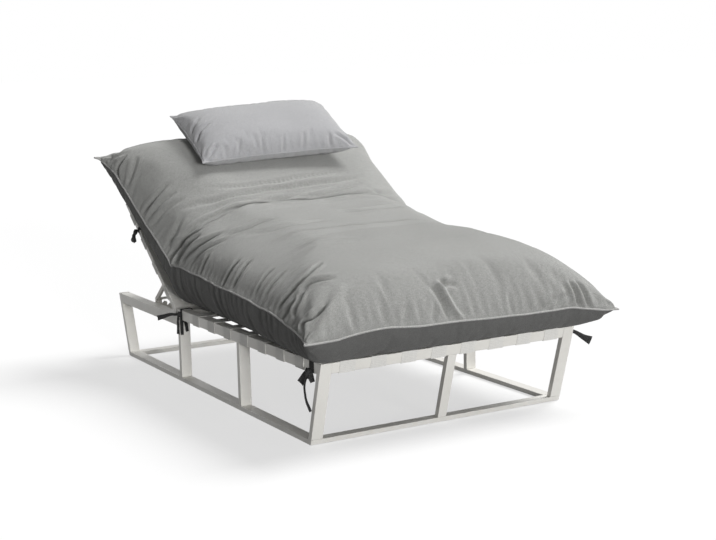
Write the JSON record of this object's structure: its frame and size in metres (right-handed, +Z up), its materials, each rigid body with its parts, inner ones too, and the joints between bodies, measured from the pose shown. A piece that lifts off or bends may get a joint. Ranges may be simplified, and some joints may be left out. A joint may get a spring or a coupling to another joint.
{
  "type": "double chaise lounger",
  "caption": "Double chaise lounger: pale flat-tube frame, woven strap deck, reclining backrest on a swinging stay, one deep soft cushion tied on, and a head pillow.",
  "frame": {"origin": "on the floor, centred between the two sides and between the foot end of the cushion and the rear end of the frame", "axes": "+X across the lounger to the right seen from the foot end, +Y from the foot end to the head end, +Z up"},
  "size_m": [1.4552, 2.24, 1.2553],
  "materials": {
    "frame_paint": "satin",
    "webbing": "matte",
    "cushion_cloth": "matte",
    "pillow_cloth": "matte",
    "tie_ribbon": "matte",
    "glide_plastic": "matte",
    "fastener_steel": "satin"
  },
  "bodies": {
    "base": {"cushion_fold": "cushion_cloth", "cushion_seat_part": "cushion_cloth", "floor_glides": "glide_plastic", "front_centre_post": "frame_paint", "front_floor_rail": "frame_paint", "left_front_leg": "frame_paint", "left_front_tie": "tie_ribbon", "left_hinge_bracket": "frame_paint", "left_hinge_pin": "fastener_steel", "left_hinge_post": "frame_paint", "left_hinge_tie": "tie_ribbon", "left_mid_post": "frame_paint", "left_rack": "frame_paint", "left_rear_leg": "frame_paint", "left_rear_side_rail": "frame_paint", "left_seat_side_rail": "frame_paint", "left_side_floor_rail": "frame_paint", "rear_floor_rail": "frame_paint", "right_front_leg": "frame_paint", "right_front_tie": "tie_ribbon", "right_hinge_bracket": "frame_paint", "right_hinge_pin": "fastener_steel", "right_hinge_post": "frame_paint", "right_hinge_tie": "tie_ribbon", "right_mid_post": "frame_paint", "right_rack": "frame_paint", "right_rear_leg": "frame_paint", "right_rear_side_rail": "frame_paint", "right_seat_side_rail": "frame_paint", "right_side_floor_rail": "frame_paint", "seat_cross_straps": "webbing", "seat_front_rail": "frame_paint", "seat_hinge_tube": "frame_paint", "seat_long_straps": "webbing"},
    "backrest": {"back_cross_straps": "webbing", "back_head_bar": "frame_paint", "back_long_straps": "webbing", "back_lower_bar": "frame_paint", "back_tube_caps": "glide_plastic", "cushion_back_part": "cushion_cloth", "head_pillow": "pillow_cloth", "left_back_side_tube": "frame_paint", "left_back_tie": "tie_ribbon", "left_hinge_boss": "fastener_steel", "left_stay_bolt": "fastener_steel", "right_back_side_tube": "frame_paint", "right_back_tie": "tie_ribbon", "right_hinge_boss": "fastener_steel", "right_stay_bolt": "fastener_steel"},
    "stay": {"left_stay_arm": "frame_paint", "right_stay_arm": "frame_paint", "stay_foot_bar": "fastener_steel"}
  },
  "joints": [
    {"name": "backrest_recline", "type": "hinge", "parent": "base", "child": "backrest", "pos_m": [0, 0.385, 0.321], "axis": [1, 0, 0], "range_deg": [-38.6, 29.4], "deforming": ["cushion_fold"]},
    {"name": "stay_swing", "type": "hinge", "parent": "backrest", "child": "stay", "pos_m": [0, 0.57413, 0.47198], "axis": [1, 0, 0], "range_deg": [-58.8, 77.2]}
  ],
  "couplings": [
    {"joint": "stay_swing", "follows": "backrest_recline", "ratio": -2}
  ]
}
